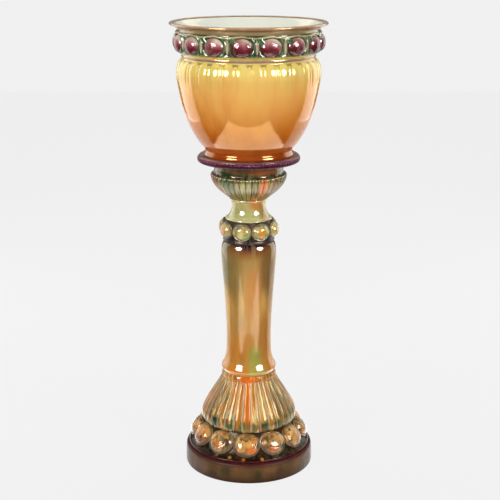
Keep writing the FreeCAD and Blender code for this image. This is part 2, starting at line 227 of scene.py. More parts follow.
def settled(name, mesh, tree, sizes, body, slot, *nodes):
    """Runs a tree on a mesh, keeps the outcome as a plain piece and sets it on the model."""
    maker = bpy.data.objects.new(name + "_maker", mesh)
    bpy.context.collection.objects.link(maker)
    modifier = maker.modifiers.new("make", "NODES")
    modifier.node_group = tree
    for item in tree.interface.items_tree:
        if item.in_out == "INPUT" and item.name in sizes:
            modifier[item.identifier] = sizes[item.name]
    made = bpy.data.meshes.new_from_object(maker.evaluated_get(bpy.context.evaluated_depsgraph_get()))
    made.name = name
    maker.modifiers.remove(modifier)
    bpy.data.objects.remove(maker)
    piece = bpy.data.objects.new(name, made)
    bpy.context.collection.objects.link(piece)
    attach(piece, body)
    if nodes:
        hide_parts(*nodes)
    return piece


wheel = wheel_tree()


def thrown(name, line, coating, body, slot, *nodes, **sizes):
    """A member turned on the wheel from its template."""
    mesh = bpy.data.meshes.new(name + "_template")
    mesh.from_pydata([(p.x / 1000, 0, p.y / 1000) for p in line],
                     [(i, i + 1) for i in range(len(line) - 1)], [])
    mesh.attributes.new("relief", "FLOAT", "POINT").data.foreach_set("value", [p.z for p in line])
    sizes = {key.replace("_", " "): value for key, value in sizes.items()}
    return settled(name, mesh, wheel, {"Glaze": coating, **sizes}, body, slot, *nodes)


def colour(red, green, blue):
    """A glaze colour from its eight-bit values as seen on screen, by the sRGB curve."""
    return tuple(((c / 255 + 0.055) / 1.055) ** 2.4 if c > 10 else c / 3294.6 for c in (red, green, blue))


def grey(level):
    return (level, level, level, 1)


# How fine each wandering of a glaze is, in waves per metre, and between which values of it, or of the
# crown, a colour goes from none to all.
RUNS, CLOUDS, VEINS, SPECKS, DULLING, ORANGE_PEEL = 38, 14, 42, 420, 60, 110
VEIN_EDGE, STREAK_EDGE, SPECK_EDGE, PATCH_EDGE, PAINTED_HIGHLIGHT_EDGE = (
    (0.5, 0.66), (0.52, 0.62), (0.56, 0.72), (0.35, 1.25), (0.62, 0.86))
NARROW_EDGE, GROOVE_EDGE, INSIDE_EDGE, DRY_EDGE = (1.1, 1.7), (0.02, 0.62), (-0.6, -0.2), (0.45, 0.9)


def glaze(name, bands=(), patches=(), marbled=(), marbling=0.0, streaks=(), fine=9, narrow=None,
          hollow=(60, 40, 20), pooled=0.5, streak=0.25, drift=5.0, inside=None, fruit=(), dust=0.0,
          roughness=0.1, dry=0.0, coat=0.15, lustre=(1.0, 0.82, 0.5), ior=1.65, ripple=0.15):
    """A majolica glaze. Everything wanders a little, because glazes creep and run in the kiln.
    bands: (height in mm, colour) from the foot up, or on a fruit's own mould from -1 to 1. Without
        bands the piece brings its own paint.
    patches: (bearing, height, half width in degrees, half height in mm, colour, share).
    marbled: colours that run through it as veins; streaks: (colour, share) lines down the wall, as
        many as fine says.
    narrow: (colour, share) on thin edges; hollow: the colour in grooves, as strong as pooled says;
    inside: two colours of the vessel's inside; fruit: (how far the bands lean, the colour of
    the painted highlight on its upper right shoulder).
    streak: how much thin and thick glaze differ; drift: how far the bands wander, in mm.
    dry: how much rougher the thin edges and grooves are than the backs; lustre: tint of the shine."""
    material = bpy.data.materials.new(name)
    material.use_nodes = True
    tree = Tree(material.node_tree)
    material.node_tree.nodes.clear()
    spot = tree.add("ShaderNodeTexCoord", {}, {}, out="Object")
    x, y, z = tree.add("ShaderNodeSeparateXYZ", {}, {0: spot}, out=(0, 1, 2))
    bearing = x.sum("ARCTAN2", x, -y) * (180 / math.pi)
    height = z * 1000

    def noise(where, scale, detail, **settings):
        return tree.add("ShaderNodeTexNoise", {}, {
            "Vector": where, "Scale": scale, "Detail": detail,
            **{key.capitalize(): value for key, value in settings.items()}})

    def over(share, shade):
        return tree.mix(share, tint, (*colour(*shade), 1))

    stretched = tree.add("ShaderNodeMapping", {}, {"Vector": spot, "Scale": (1, 1, 0.22)})
    creep = noise(stretched, RUNS, 3, roughness=0.55)
    cloud = noise(spot, CLOUDS, 3, roughness=0.6)
    level = height + (creep - 0.5) * (4 * drift) + (cloud - 0.5) * (2 * drift)
    if fruit:
        mould = tree.add("ShaderNodeAttribute", {"attribute_name": "mould"}, {}, out="Vector")
        across, up, _ = tree.add("ShaderNodeSeparateXYZ", {}, {0: mould}, out=(0, 1, 2))
        level = up + across * fruit[0] + (creep - 0.5) * 0.9 + (cloud - 0.5) * 0.5
    if bands:
        low, high = bands[0][0], bands[-1][0]
        tint = tree.add("ShaderNodeValToRGB", {"stops": [
            ((at - low) / (high - low), colour(*shade)) for at, shade in bands]},
            {"Fac": (level - low) / (high - low)})
    else:
        tint = tree.add("ShaderNodeAttribute", {"attribute_name": "paint"}, {}, out="Color")
    for number, shade in enumerate(marbled):
        shifted = tree.add("ShaderNodeMapping", {}, {
            "Vector": spot, "Location": (3.1 * number, 1.7, 0.4 * number), "Scale": (1, 1, 0.6)})
        vein = noise(shifted, VEINS, 4, roughness=0.62, distortion=0.9)
        tint = over(tree.step(vein, *VEIN_EDGE) * marbling, shade)
    if streaks:
        reach = (x * x + y * y) ** 0.5
        round_it = tree.add("ShaderNodeCombineXYZ", {}, {0: x / reach, 1: y / reach, 2: z * 2.2})
    for number, (shade, share) in enumerate(streaks):
        shifted = tree.add("ShaderNodeMapping", {}, {
            "Vector": round_it, "Location": (1.9 * number, 0.7, 2.3 * number)})
        line = noise(shifted, fine, 2, roughness=0.6)
        tint = over(tree.step(line, *STREAK_EDGE) * share, shade)
    for at, up_to, width, tall, shade, share in patches:
        aside = (bearing + (creep - 0.5) * (width * 0.9) - at) / width
        along = (height + (cloud - 0.5) * (tall * 1.2) - up_to) / tall
        away = (aside * aside + along * along) ** 0.5
        tint = over(tree.step(away, *PATCH_EDGE, share, 0.0), shade)
    if fruit:
        # A pale patch on each fruit's upper right shoulder: painted highlight.
        edge = across * 0.62 + up * 0.78 + (creep - 0.5) * 0.3
        tint = over(tree.step(edge, *PAINTED_HIGHLIGHT_EDGE) * 0.9, fruit[1])
    crown = tree.add("ShaderNodeAttribute", {"attribute_name": "crown"}, {}, out="Fac")
    if narrow:
        tint = over(tree.step(crown, *NARROW_EDGE) * narrow[1], narrow[0])
    tint = over(tree.step(crown + (creep - 0.5) * 0.3, *GROOVE_EDGE, pooled, 0.0), hollow)
    thickness = tree.add("ShaderNodeValToRGB", {
        "stops": [(at, (at, at, at)) for at in (0.3, 0.5, 0.72)]}, {"Fac": creep})
    tint = tree.mix(streak, tint, thickness, "OVERLAY")
    if inside:
        shade = tree.mix(cloud, (*colour(*inside[0]), 1), (*colour(*inside[1]), 1))
        tint = tree.mix(tree.step(crown, *INSIDE_EDGE, 1.0, 0.0), tint, shade)
    if dust:
        tint = over(tree.step(noise(spot, SPECKS, 2), *SPECK_EDGE) * dust, hollow)
    shine = roughness + tree.step(abs(crown - 1), *DRY_EDGE) * dry
    shine = shine + (noise(spot, DULLING, 2) - 0.5) * (roughness * 0.6)
    bump = tree.add("ShaderNodeBump", {}, {
        "Strength": ripple, "Distance": 0.0004, "Height": noise(spot, ORANGE_PEEL, 1.5) + creep * 0.6})
    skin = tree.add("ShaderNodeBsdfPrincipled", {}, {
        "Base Color": tint, "Roughness": shine, "IOR": ior, "Specular Tint": (*lustre, 1),
        "Coat Weight": coat, "Coat Roughness": 0.03, "Coat IOR": 1.5, "Normal": bump})
    tree.add("ShaderNodeOutputMaterial", {}, {"Surface": skin})
    return material


umber_wash = glaze(
    "umber_wash",
    bands=[(0, (30, 14, 8)), (5, (54, 28, 12)), (12, (74, 50, 26)), (22, (88, 64, 36)),
           (33, (92, 64, 36)), (39, (80, 46, 28)), (41.6, (64, 26, 20)), (44, (92, 26, 38))],
    patches=[(8, 18, 4, 15, (48, 38, 16), 0.8), (-22, 22, 5, 13, (52, 46, 20), 0.8),
             (-34, 14, 4, 9, (50, 32, 18), 0.6), (30, 18, 6, 14, (58, 40, 24), 0.6),
             (-46, 22, 7, 18, (108, 86, 68), 0.6), (20, 30, 7, 8, (118, 80, 48), 0.6),
             # The two dark patches at bearings -80 and 80 darken both flanks of the drum: painted shade.
             (-8, 32, 6, 8, (112, 74, 44), 0.5), (-80, 22, 18, 26, (44, 28, 18), 0.85),
             (80, 22, 18, 26, (48, 31, 20), 0.85), (150, 20, 20, 14, (92, 68, 42), 0.5),
             (-130, 22, 16, 12, (100, 74, 46), 0.5)],
    streak=0.6, drift=1.2, roughness=0.45, coat=0.0, ripple=0.8, dust=0.3, pooled=0.0, lustre=(1, 1, 1),
    ior=1.15)
plinth = thrown(
    "plinth_drum", profile(
        [(125, 0), (136, 0)], [(136, 0), (138.2, 0.8), (138.9, 2.6), (139, 6), (138.9, 20), (138.2, 35)],
        [(138.2, 35), (137.9, 38), (137, 40.6), (135, 42.6), (132, 43.6)], [(132, 43.6), (122, 43.7)],
        [(122, 43.7), (112.5, 43.7)], [(112.5, 43.7), (125, 0)]),
    umber_wash, "stand", "umber_glaze", "plinth", Steps_round=360)


# ---------------------------------------------------------------- foot ring
# The sloping band that carries the large eggs: slip-cast and luted to the plinth. It is darkest in the
# groove just under the eggs, and the small orange spots there are painted glints.

dark_with_painted_glints = glaze(
    "dark_with_painted_glints",
    bands=[(44, (110, 34, 46)), (46.5, (84, 26, 32)), (48.5, (30, 17, 12)), (56, (30, 21, 14)),
           (70, (42, 32, 21)), (88, (62, 52, 34)), (98, (52, 38, 26))],
    # Small orange spots in the dark groove under the eggs: painted glints.
    patches=[(-5, 50.5, 2.0, 2.4, (206, 120, 40), 0.7), (13, 50.5, 1.8, 3, (226, 140, 80), 0.7),
             (-19, 52, 1.8, 2.5, (214, 150, 70), 0.7), (29, 53, 1.8, 2.6, (170, 60, 60), 0.6),
             (-33, 53, 2.0, 2.6, (190, 120, 60), 0.6)],
    marbled=[(84, 58, 30), (72, 80, 62)], marbling=0.6, pooled=0.0, drift=1.2, ripple=0.5, coat=0.0,
    roughness=0.16, ior=1.16)
foot_ring = thrown(
    "foot_ring",
    profile(
        [(113, 44), (129.5, 44)], [(129.5, 44), (131.2, 45), (131.8, 47.2), (130.5, 49.4), (128, 50.6)],
        [(128, 50.6), (120, 58), (108, 77), (97.5, 94)], [(97.5, 94), (96, 98)], [(96, 98), (81, 98)],
        [(81, 98), (113, 44)]),
    dark_with_painted_glints, "stand", "dark_olive_glaze", "foot_ring", Steps_round=360)


# ---------------------------------------------------------------- foot eggs
# Twelve egg mouldings pressed in a mould and sprigged on with slip. Each is a full dome with a groove
# and a thin raised frame round it, marbled in amber, orange and brown where glazes ran together.

def wreath_tree():
    """Sets copies of one sprig side by side and bends the row about the axis onto a sloping seat."""
    apart = 10
    group, tree, ask = bench(
        "wreath", ("Sprig", "Geometry", None), ("Count", "Int", 8), ("First bearing", "Float", 0.0),
        ("Seat radius", "Float", 0.1), ("Seat height", "Float", 0.0), ("Lean", "Float", 0.0),
        ("Glaze", "Material", None))
    line = tree.add("GeometryNodeMeshLine", {"mode": "OFFSET"}, {
        "Count": ask("Count"), "Start Location": (0, 0, 0), "Offset": (apart, 0, 0)})
    row = tree.add("GeometryNodeInstanceOnPoints", {}, {"Points": line, "Instance": ask("Sprig")})
    row = tree.add("GeometryNodeRealizeInstances", {}, {"Geometry": row})
    x, y, z = tree.add(
        "ShaderNodeSeparateXYZ", {}, {0: tree.add("GeometryNodeInputPosition")}, out=(0, 1, 2))
    number = (x / apart + 0.5).sum("FLOOR", x / apart + 0.5)
    aside = x - number * apart
    lean = ask("Lean")
    tilt, rise = lean.sum("SINE", lean), lean.sum("COSINE", lean)
    seat = ask("Seat radius") - y * tilt
    reach = seat + z * rise
    bearing = aside / seat + (ask("First bearing") + number * 360 / ask("Count")) * (math.pi / 180)
    spot = tree.add("ShaderNodeCombineXYZ", {}, {
        0: reach * bearing.sum("SINE", bearing), 1: -(reach * bearing.sum("COSINE", bearing)),
        2: ask("Seat height") + y * rise + z * tilt})
    shape = tree.add("GeometryNodeSetPosition", {}, {"Geometry": row, "Position": spot})
    return glazed(group, tree, shape, ask("Glaze"))


def sprig(name, outline, heights, rings=26, spokes=56, back=3.0):
    """A moulded ornament in millimetres, x across, y up, z outwards. The outline gives the half
    width and height of its oval at an angle; the heights go from its middle to its rim, as (share,
    height, crown)."""
    verts, faces, crowns = [(0, 0, heights[0][1])], [], [heights[0][2]]

    def at(share):
        for (s0, h0, c0), (s1, h1, c1) in zip(heights, heights[1:]):
            if share <= s1:
                t = (share - s0) / (s1 - s0)
                t = t * t * (3 - 2 * t)
                return h0 + (h1 - h0) * t, c0 + (c1 - c0) * t
        return heights[-1][1:]

    for ring in range(1, rings + 1):
        share = ring / rings
        rise, crown = at(share)
        for spoke in range(spokes):
            reach_x, reach_y = outline(2 * math.pi * spoke / spokes)
            verts.append((share * reach_x, share * reach_y, rise))
            crowns.append(crown)
    for spoke in range(spokes):
        verts.append((*verts[1 + (rings - 1) * spokes + spoke][:2], -back))
        crowns.append(0)
    verts.append((0, 0, -back))
    crowns.append(0)
    for spoke in range(spokes):
        after = (spoke + 1) % spokes
        faces.append((0, 1 + spoke, 1 + after))
        for ring in range(rings):
            here = 1 + ring * spokes
            faces.append((here + spoke, here + spokes + spoke, here + spokes + after, here + after))
        last = 1 + rings * spokes
        faces.append((last + spoke, len(verts) - 1, last + after))
    mesh = bpy.data.meshes.new(name + "_sprig")
    mesh.from_pydata([(px / 1000, py / 1000, pz / 1000) for px, py, pz in verts], [], faces)
    mesh.attributes.new("crown", "FLOAT", "POINT").data.foreach_set("value", crowns)
    width, tall = outline(0)[0], outline(math.pi / 2)[1]
    mesh.attributes.new("mould", "FLOAT_VECTOR", "POINT").data.foreach_set(
        "vector", [part for px, py, _ in verts for part in (px / width, py / tall, 0)])
    return mesh


wreath = wreath_tree()
egg_domes = glaze(
    "marbled_amber",
    bands=[(50, (64, 46, 30)), (58, (92, 60, 30)), (68, (156, 96, 38)), (80, (216, 150, 72)),
           (90, (228, 180, 106)), (100, (150, 112, 64))],
    patches=[(3, 68, 6, 8, (214, 100, 22), 0.85), (-7, 76, 5, 12, (222, 164, 88), 0.7),
             (-6, 62, 4, 5, (54, 66, 46), 0.8), (-32, 76, 7, 9, (190, 104, 36), 0.8),
             (-38, 70, 4, 9, (64, 86, 74), 0.8), (25, 70, 5, 9, (206, 100, 30), 0.9),
             (36, 70, 5, 7, (18, 46, 38), 0.95), (32, 84, 6, 8, (222, 176, 112), 0.7),
             (-62, 70, 6, 8, (90, 48, 66), 0.8), (60, 78, 8, 10, (206, 156, 104), 0.7),
             (62, 64, 5, 6, (96, 96, 46), 0.8)],
    hollow=(44, 34, 22), pooled=0.95,
    marbled=[(92, 52, 28), (214, 178, 116), (44, 44, 30), (198, 106, 42), (84, 88, 62)], marbling=0.9,
    drift=3, streak=0.75, ripple=0.3, narrow=((70, 70, 46), 0.85), dry=0.4, ior=1.36, coat=0.0,
    lustre=(1, 0.9, 0.75))
egg_sprig = sprig("foot_egg", lambda a: (30.8 * math.cos(a), 27.0 * math.sin(a)), [
    (0, 14.6, 1), (0.3, 14.1, 1), (0.5, 12.8, 1), (0.66, 10.4, 1), (0.78, 7.4, 0.85), (0.83, 5.4, 0.3),
    (0.87, 4.2, 0.0), (0.905, 5.2, 2), (0.94, 5.0, 2), (0.97, 2.8, 0.1), (1, -1.5, 0)], rings=40)
ring_draws_in, ring_rises = 32, 45
foot_eggs = settled("foot_eggs", egg_sprig, wreath, {
    "Count": 12, "First bearing": -2.5, "Seat radius": 0.1096, "Seat height": 0.0748,
    "Lean": math.atan2(ring_draws_in, ring_rises),
    "Glaze": egg_domes}, "stand", "amber_glaze", "foot_eggs")


# ---------------------------------------------------------------- skirt
# The bell under the column: slip-cast with thirty-two broad reeds and a thin one between each pair,
# down to a lip that curves under, darkened towards its underside by painted shade. Orange at the front
# turns to olive, and dark green has run down to the lip.

reeds = 32
skirt_glaze = glaze(
    "reed_olive",
    # The darkest bands, on the lip's underside from 98 to 104.5 mm, are painted shade.
    bands=[(98, (24, 16, 10)), (101.5, (50, 36, 18)), (104.5, (104, 80, 38)), (111, (84, 84, 40)),
           (122, (156, 122, 54)), (140, (176, 128, 50)), (170, (168, 122, 48)), (190, (170, 116, 42)),
           (198, (182, 118, 40)), (209, (176, 114, 40))],
    patches=[(-1, 165, 11, 46, (226, 116, 26), 0.75), (-2, 202, 28, 8, (224, 100, 16), 0.95),
             (-20, 170, 10, 34, (220, 132, 52), 0.5), (22, 156, 14, 40, (212, 160, 84), 0.5),
             (-46, 116, 11, 13, (22, 50, 34), 0.95), (-24, 112, 5, 8, (22, 64, 46), 0.9),
             (20, 114, 7, 8, (28, 62, 44), 0.9), (36, 114, 6, 8, (24, 56, 40), 0.9),
             (8, 114, 4, 8, (70, 84, 56), 0.7), (0, 104, 9, 5, (176, 134, 66), 0.7),
             (-34, 104, 6, 5, (170, 120, 60), 0.7), (28, 108, 5, 7, (208, 150, 76), 0.7),
             (50, 150, 13, 44, (112, 92, 52), 0.7), (66, 120, 12, 14, (72, 76, 44), 0.7),
             (-78, 140, 7, 44, (168, 84, 38), 0.6), (-58, 160, 10, 44, (104, 88, 58), 0.7),
             (160, 150, 20, 50, (226, 126, 40), 0.7), (-150, 116, 24, 12, (34, 70, 48), 0.7)],
    hollow=(38, 28, 16), pooled=0.97, drift=4, streak=0.5, coat=0.0, lustre=(1.0, 0.86, 0.6), ripple=0.03,
    streaks=[((216, 106, 26), 0.75), ((222, 196, 130), 0.8), ((84, 96, 48), 0.85), ((120, 70, 28), 0.75)],
    fine=11, narrow=((156, 148, 118), 0.6), dry=0.3, ior=1.27)
skirt = thrown(
    "skirt",
    profile(
        [(81, 98), (97.4, 98.6)],
        [(97.4, 98.6), (99.6, 99.6, 0), (100.6, 101.4, 0.4), (101.2, 104, 0.9), (101.7, 110, 1),
         (99, 124, 1), (91.1, 140, 1), (76.6, 164, 1), (66.5, 180, 1), (59.2, 193, 1), (57, 197, 1),
         (57, 198.6, 0)],
        [(57.0, 198.6, 0), (58.6, 199.6), (59.2, 202), (58.9, 204.6), (57.6, 206.8)],
        [(57.6, 206.8), (57.2, 208.0), (57.6, 209.2), (56.4, 210.2)], [(56.4, 210.2), (50, 210.4)],
        [(50, 210.4), (38, 206)], [(38, 206), (45, 190), (81, 106), (81, 98)], spacing=1.3),
    skirt_glaze, "stand", "olive_glaze", "skirt", Steps_round=704, Reeds=reeds,
    First_reed=-2.5 / 360 * reeds, Wide_share=0.73, Wide_rise=0.0018, Narrow_rise=0.0010,
    Wide_head=0.2005, Narrow_head=0.2005, Head_length=0.006, Squareness=2.5)


# ---------------------------------------------------------------- shaft
# The hollow column, cast in one with the bead at its foot. Honey and orange glazes run down it over
# olive, with a green pool above the bead and a dark purple line under the knop.

shaft_glaze = glaze(
    "honey_column",
    bands=[(206, (120, 70, 24)), (212, (196, 140, 60)), (216, (190, 118, 34)), (240, (196, 128, 50)),
           (300, (192, 134, 60)), (360, (204, 152, 78)), (400, (204, 156, 82)), (440, (192, 154, 88)),
           (470, (172, 136, 76)), (484, (146, 98, 52)), (492, (118, 60, 34)), (497, (60, 26, 38)),
           (501, (40, 18, 34))],
    patches=[(-40, 440, 30, 70, (118, 98, 52), 0.8), (-66, 460, 26, 60, (104, 104, 70), 0.7),
             (10, 410, 20, 66, (206, 136, 76), 0.7), (40, 450, 22, 60, (118, 78, 40), 0.75),
             (62, 430, 22, 90, (112, 84, 44), 0.7), (-34, 330, 24, 60, (158, 122, 62), 0.6),
             (-34, 262, 26, 40, (190, 120, 48), 0.7), (42, 300, 22, 60, (172, 110, 50), 0.7),
             (-12, 290, 22, 40, (206, 140, 66), 0.5), (14, 250, 22, 34, (160, 160, 74), 0.85),
             (12, 221, 22, 9, (176, 164, 66), 0.8), (-24, 222, 24, 12, (212, 122, 30), 0.85),
             (30, 222, 14, 12, (156, 148, 60), 0.7), (150, 300, 40, 120, (150, 140, 66), 0.6),
             (-140, 260, 30, 80, (210, 124, 48), 0.6)],
    hollow=(90, 50, 20), pooled=0.2, drift=8, streak=0.35, coat=0.05, lustre=(1.0, 0.84, 0.6),
    streaks=[((176, 150, 84), 0.3), ((150, 92, 44), 0.2)], fine=5)
shaft = thrown(
    "shaft",
    profile(
        [(38, 206), (54.6, 206)], [(54.6, 206), (54.9, 208), (55.2, 211.2)],
        [(55.2, 211.2), (57.0, 212.2), (57.6, 213.6), (57.2, 214.8)],
        [(57.2, 214.8), (58.9, 216.6), (59.5, 219.6), (59.0, 223.0), (56.8, 227.6), (53.8, 232.6),
         (51.5, 240), (49.5, 249), (48.5, 264), (48.1, 296), (48.9, 322), (50.9, 360), (53.7, 400),
         (56.6, 437), (58.3, 460), (58.9, 475), (58.4, 486), (56.8, 494), (54.4, 499.4), (52.4, 501.5)],
        [(52.4, 501.5), (38, 501.9)], [(38, 501.9), (38, 206)], spacing=1.6),
    shaft_glaze, "stand", "honey_olive_glaze", "shaft", Steps_round=280)


# ---------------------------------------------------------------- knop
# The core that carries the small eggs, with a dark purple fillet where it meets the column. Mauve
# glaze lies on the darts high between the eggs and dark teal has pooled low between them.

knop_glaze = glaze(
    "teal_and_mauve",
    bands=[(502, (40, 16, 36)), (507, (56, 26, 42)), (512, (26, 34, 32)), (522, (44, 52, 46)),
           (534, (50, 34, 30)), (549, (70, 54, 42))],
    marbled=[(20, 34, 32), (112, 84, 78), (40, 26, 20)], marbling=0.8, pooled=0.0, drift=2, ripple=0.4,
    roughness=0.3, coat=0.0, ior=1.3)
knop = thrown(
    "knop_core",
    profile(
        [(38, 502), (52.6, 502)], [(52.6, 502), (54.4, 503), (55, 505), (54.4, 507), (53, 508.2)],
        [(53, 508.2), (52.8, 514), (52.8, 536), (51.6, 543), (48, 548.6)], [(48, 548.6), (26, 549)],
        [(26, 549), (38, 502)]),
    knop_glaze, "stand", "teal_glaze", "knop", Steps_round=280)


# ---------------------------------------------------------------- knop eggs
# Eight smaller eggs sprigged round the knop, each inside a raised arch. Straw yellow, with green and
# orange glazes broken over the domes.

knop_egg_glaze = glaze(
    "straw_eggs",
    bands=[(506, (60, 50, 32)), (516, (124, 110, 62)), (525, (182, 162, 94)), (537, (198, 180, 118)),
           (546, (140, 128, 84))],
    patches=[(-15, 528, 9, 10, (226, 206, 132), 0.7), (-5, 522, 6, 10, (128, 146, 66), 0.8),
             (26, 529, 7, 12, (222, 142, 38), 0.9), (38, 520, 6, 10, (86, 124, 62), 0.85),
             (36, 536, 5, 8, (206, 200, 130), 0.7), (-62, 528, 12, 14, (214, 160, 122), 0.8),
             (-54, 514, 8, 8, (100, 116, 62), 0.7), (150, 524, 14, 16, (226, 160, 60), 0.7)],
    hollow=(52, 44, 32), pooled=0.95,
    marbled=[(104, 120, 62), (222, 200, 140), (190, 126, 60), (70, 66, 40)], marbling=0.7, drift=3,
    streak=0.5, ripple=0.3, narrow=((84, 82, 54), 0.85), dry=0.35, lustre=(1, 0.95, 0.8), coat=0.0,
    ior=1.5)
knop_egg_sprig = sprig(
    "knop_egg", lambda a: (21.2 * math.cos(a), (17.6 if math.sin(a) < 0 else 20.2) * math.sin(a)),
    [(0, 13.2, 1), (0.3, 12.7, 1), (0.5, 11.3, 1), (0.66, 8.8, 1), (0.78, 5.8, 0.8), (0.83, 4.2, 0.2),
     (0.86, 3.8, 0.0), (0.90, 4.6, 2), (0.935, 4.0, 2), (0.97, 1.8, 0.1), (1, -1.5, 0)],
    rings=34)
knop_eggs = settled("knop_eggs", knop_egg_sprig, wreath, {
    "Count": 8, "First bearing": -16.0, "Seat radius": 0.0522, "Seat height": 0.5280, "Lean": 0.0,
    "Glaze": knop_egg_glaze}, "stand", "straw_glaze", "knop_eggs")


# ---------------------------------------------------------------- neck
# A waisted collar between the knop and the capital, turned smooth, in pale yellow-green glaze that
# warms to olive gold and orange on its right.

neck_glaze = glaze(
    "pale_green",
    bands=[(549, (206, 196, 144)), (556, (190, 184, 124)), (570, (176, 168, 104)), (584, (186, 172, 110)),
           (590, (184, 158, 96)), (594, (226, 208, 150))],
    patches=[(26, 584, 30, 14, (196, 124, 56), 0.85), (50, 564, 20, 22, (160, 124, 56), 0.8),
             (-44, 572, 26, 24, (168, 166, 108), 0.6), (0, 560, 22, 8, (176, 178, 104), 0.5),
             (170, 575, 30, 20, (204, 150, 70), 0.6)],
    hollow=(110, 84, 30), pooled=0.15, drift=3, streak=0.3, lustre=(1.0, 0.92, 0.8))
neck = thrown(
    "neck",
    profile(
        [(26, 549), (48, 549)],
        [(48, 549), (49.7, 549.5), (50, 550.9), (48.8, 552.6), (46.6, 554), (43.9, 556.4), (40.9, 560.4),
         (38.4, 565), (36.6, 571), (36, 577), (36.3, 583), (37, 588.6)],
        [(37, 588.6), (39.6, 589.8), (40.9, 591.4), (40.6, 593), (39.2, 593.9)],
        [(39.2, 593.9), (26, 594)], [(26, 594), (26, 549)]),
    neck_glaze, "stand", "pale_green_glaze", "neck", Steps_round=260)


# ---------------------------------------------------------------- capital
# The cup of thirty-six gadroons and the plain hollow-sided cap that carries the ledge, cast in one.
# Greens at the left, tan in the middle and bright orange at the right run down the lobes.

capital_glaze = glaze(
    "moss_gadroons",
    bands=[(594, (130, 112, 60)), (606, (140, 120, 54)), (620, (160, 144, 78)), (636, (144, 134, 70)),
           (644, (104, 100, 56)), (650, (40, 40, 28)), (658, (108, 86, 52)), (664, (128, 96, 60)),
           (672, (70, 40, 32))],
    patches=[(24, 624, 10, 26, (230, 112, 22), 0.95), (14, 600, 18, 8, (180, 104, 40), 0.8),
             (-34, 628, 14, 24, (48, 80, 44), 0.85), (-66, 624, 16, 34, (140, 84, 64), 0.85),
             (-10, 622, 14, 24, (176, 166, 106), 0.7), (48, 620, 12, 30, (122, 74, 42), 0.8),
             (66, 626, 12, 30, (96, 104, 76), 0.7), (-46, 654, 30, 6, (20, 46, 32), 0.9),
             # The pinkish grey patches at bearings -84 and 84 on the cap are painted reflection of the
             # white side panels.
             (24, 660, 34, 8, (160, 92, 48), 0.8), (-84, 662, 22, 12, (130, 104, 100), 0.7),
             (84, 662, 22, 12, (150, 122, 116), 0.7), (160, 624, 30, 30, (214, 128, 50), 0.6)],
    hollow=(38, 31, 19), pooled=0.97, drift=4, streak=0.45, lustre=(1.0, 0.88, 0.66), ripple=0.06,
    streaks=[((84, 100, 50), 0.5), ((176, 160, 104), 0.3), ((104, 60, 36), 0.5)], fine=6, ior=1.5)
capital = thrown(
    "capital",
    profile(
        [(26, 594), (40, 594, 0)],
        [(40, 594, 0), (41, 596, 0.5), (43.4, 600, 1), (48.6, 604, 1), (54, 608.4, 1), (58.9, 612.6, 1),
         (64.4, 618.6, 1), (69.2, 625, 1), (73, 632, 1), (75.4, 638, 1), (76.2, 642.6, 1),
         (75.4, 646.6, 1), (73.4, 649.4, 0.6), (72.6, 651, 0)],
        [(72.6, 651, 0), (73.4, 654), (73, 659), (73.4, 664), (74.4, 669), (74.8, 672)],
        [(74.8, 672), (57, 672)], [(57, 672), (57, 653), (50, 624), (26, 594)]),
    capital_glaze, "stand", "moss_glaze", "capital", Steps_round=576, Reeds=36, First_reed=0.0,
    Wide_share=1.0, Wide_rise=0.0044, Narrow_rise=0.0, Wide_head=0.6510, Head_length=0.0075,
    Squareness=1.7)


# ---------------------------------------------------------------- ledge
# The round shelf that the bowl stands on. Its edge is milled with a fine bead, and its aubergine glaze
# breaks to magenta along the top of the edge.

ledge_glaze = glaze(
    "aubergine",
    bands=[(672, (34, 14, 22)), (676, (62, 22, 36)), (681, (84, 24, 54)), (683.2, (108, 26, 74)),
           (684.4, (116, 58, 66)), (686, (130, 104, 92))],
    # The beige patches at bearings -84 and 84 on the edge are painted reflection of the white side
    # panels.
    patches=[(-84, 677, 26, 7, (124, 88, 76), 0.7), (84, 677, 26, 7, (124, 88, 76), 0.7),
             (14, 679, 10, 5.5, (84, 20, 44), 0.6), (-24, 679, 14, 5.5, (70, 28, 36), 0.6),
             (180, 677, 60, 7, (96, 50, 74), 0.4)],
    hollow=(10, 3, 6), pooled=0.98, drift=0.9, streak=0.6, lustre=(1, 0.66, 0.7), coat=0.0, dry=0.3,
    ior=1.26)
ledge = thrown(
    "ledge",
    profile(
        [(0, 672.1), (101, 672.1, 0)],
        [(101, 672.1, 0), (103.6, 672.6, 0), (105, 674, 0.6), (105.6, 676, 1), (105.8, 679, 1),
         (105.6, 682, 1), (105.2, 683.6, 0.3), (105.4, 684.6, 0), (104, 685.7, 0), (102, 686, 0)],
        [(102, 686, 0), (0, 686, 0)]),
    ledge_glaze, "stand", "aubergine_glaze", "ledge", Steps_round=960, Reeds=96, Wide_share=1.0,
    Squareness=1.2, Wide_rise=0.0020, Wide_head=0.6835, Head_length=0.003)


# ---------------------------------------------------------------- bowl
# The jardiniere itself, slip-cast with its foot, thirty-two broad reeds and a thin one between each
# pair, the bead, the fruit band's ground and the flared lip. Honey glaze outside, pale mint inside.

